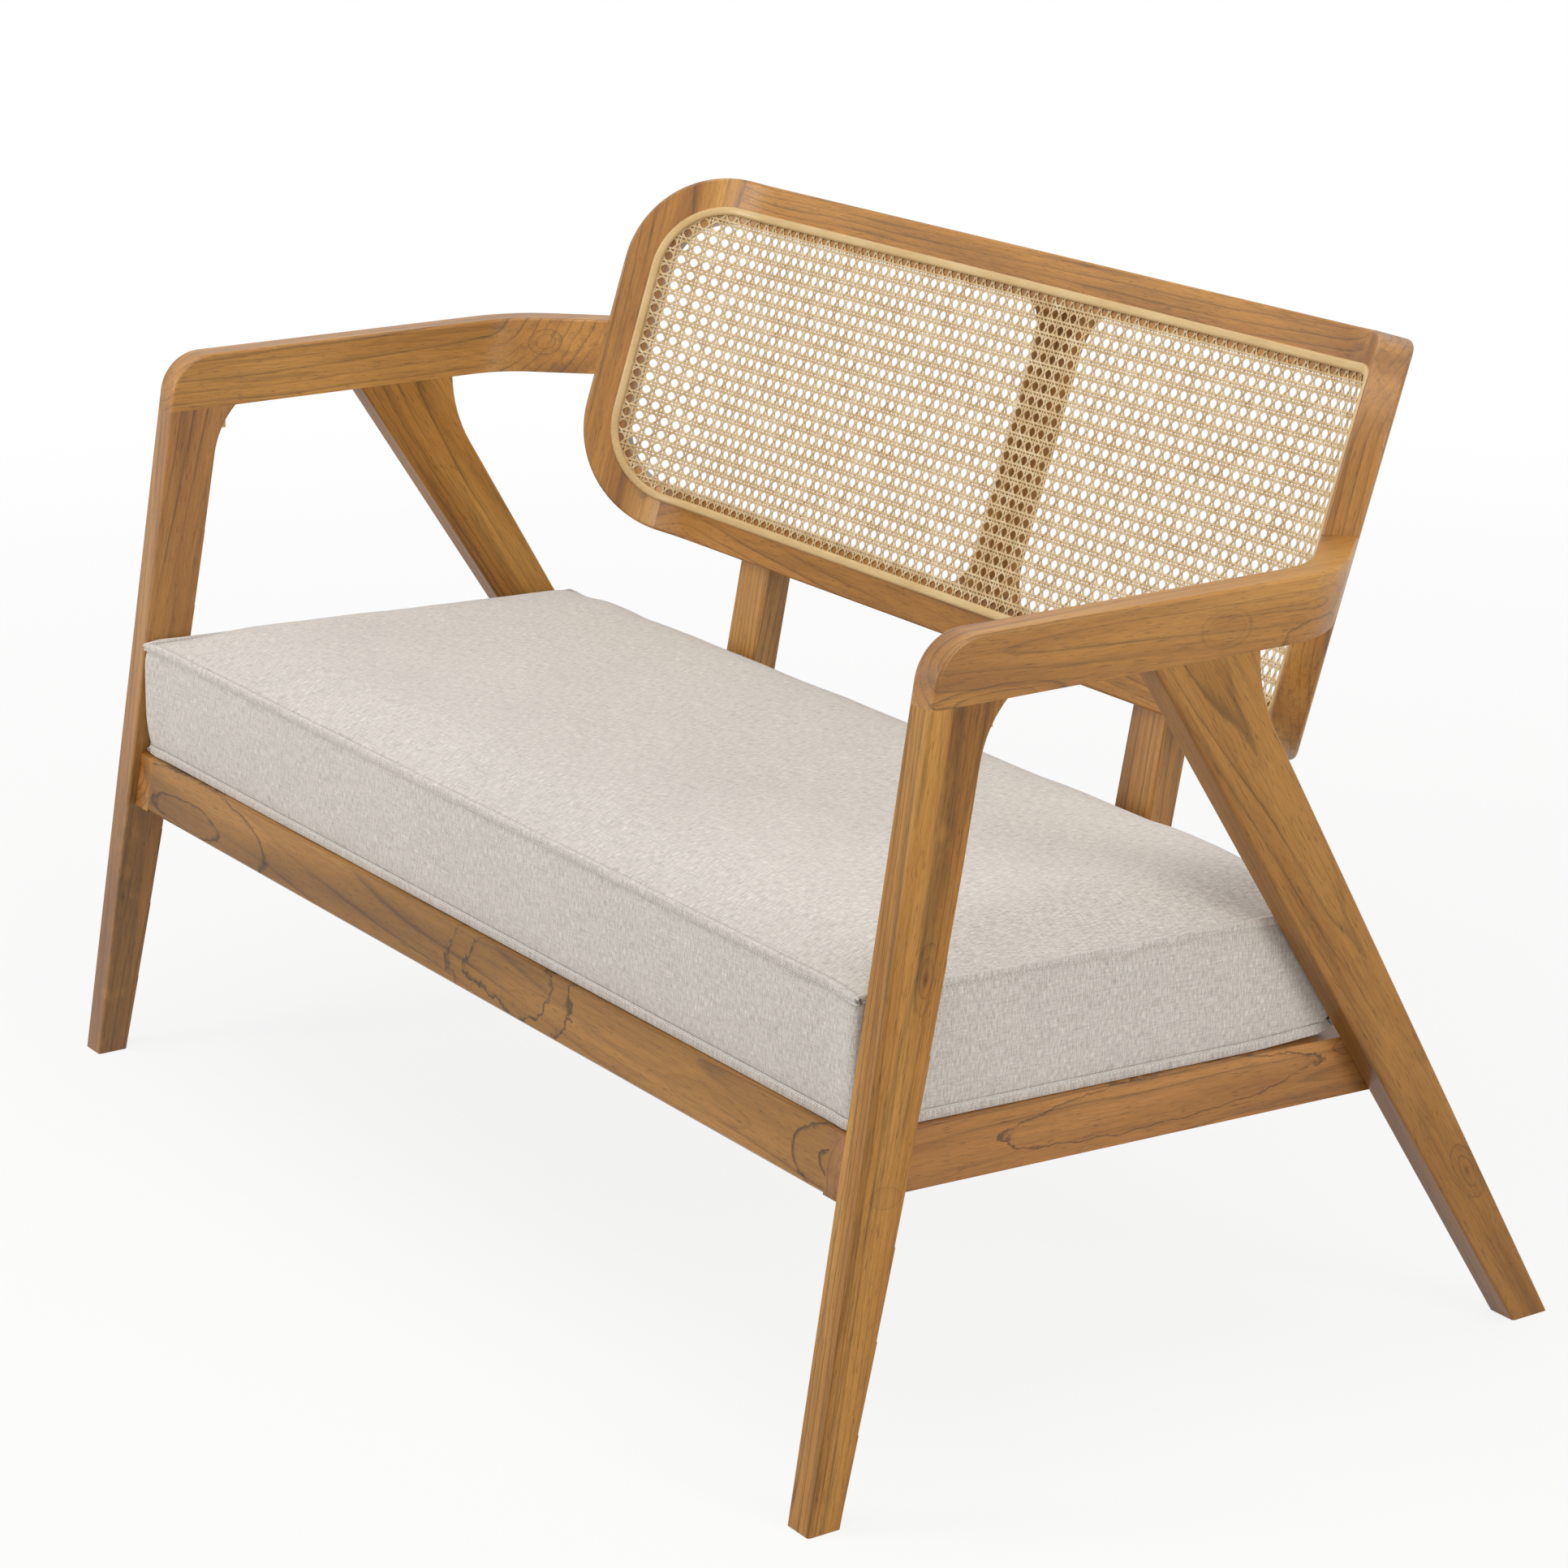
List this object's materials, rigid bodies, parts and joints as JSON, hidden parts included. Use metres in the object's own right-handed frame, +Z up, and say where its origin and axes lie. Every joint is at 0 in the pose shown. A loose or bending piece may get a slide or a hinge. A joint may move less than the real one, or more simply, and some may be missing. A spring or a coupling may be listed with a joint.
{
  "type": "patio loveseat",
  "caption": "Two-seat outdoor bench with a bent, reclined cane back, level arms turning in to it, raked plank legs and a loose zipped seat cushion.",
  "frame": {"origin": "on the floor, under the middle of the footprint", "axes": "+Z up, +X to the sitter's left as seen from the front on the right-hand side of the picture, front faces -Y, back towards +Y"},
  "size_m": [1.22, 0.724, 0.7881],
  "materials": {
    "teak": "oiled teak, satin",
    "tenon_wood": "plain hardwood, unfinished",
    "cane": "woven natural cane, semi-matt",
    "rattan": "split rattan spline, satin",
    "steel": "stainless steel",
    "linen": "melange outdoor linen weave",
    "foam": "open-cell seat foam",
    "zip_tape": "woven zip tape",
    "zip": "grey moulded nylon"
  },
  "bodies": {
    "frame": {"front_leg_right": "teak", "front_leg_left": "teak", "rear_leg_right": "teak", "rear_leg_left": "teak", "arm_right": "teak", "arm_left": "teak", "back_end_right": "teak", "back_end_left": "teak", "back_post_right": "teak", "back_post_left": "teak", "side_apron_right": "teak", "side_apron_left": "teak", "slat_cleat_right": "teak", "slat_cleat_left": "teak", "corner_block_front_right": "teak", "corner_block_front_left": "teak", "corner_block_rear_right": "teak", "corner_block_rear_left": "teak", "back_top_rail": "teak", "back_bottom_rail": "teak", "back_brace": "teak", "front_apron": "teak", "rear_rail": "teak", "seat_support": "teak", "seat_slat_1": "teak", "seat_slat_2": "teak", "seat_slat_3": "teak", "seat_slat_4": "teak", "seat_slat_5": "teak", "seat_slat_6": "teak", "seat_slat_7": "teak", "arm_tenons": "tenon_wood", "rim_tenons": "tenon_wood", "frame_tenons": "tenon_wood", "seat_tenons": "tenon_wood", "cane_panel": "cane", "cane_spline": "rattan", "leg_bolts": "steel", "leg_inserts": "steel", "slat_screws": "steel", "cleat_screws": "steel", "block_screws": "steel", "brace_screws": "steel"},
    "cushion": {"cushion_cover": "linen", "cushion_core": "foam", "zip_tape": "zip_tape"},
    "zip_slider": {"zip_slider": "zip"},
    "zip_pull": {"zip_pull": "zip"}
  },
  "joints": [
    {"name": "cushion_lift", "type": "slide", "parent": "frame", "child": "cushion", "axis": [0, -0.7071, 0.7071], "range_m": [0, 0.45]},
    {"name": "zip_slide", "type": "slide", "parent": "cushion", "child": "zip_slider", "axis": [-1, 0, 0], "range_m": [0, 1.05]},
    {"name": "zip_pull_swing", "type": "hinge", "parent": "zip_slider", "child": "zip_pull", "pos_m": [0.528, 0.15224, 0.29074], "axis": [0, 0.1503, 0.9886], "range_deg": [0, 150]}
  ]
}
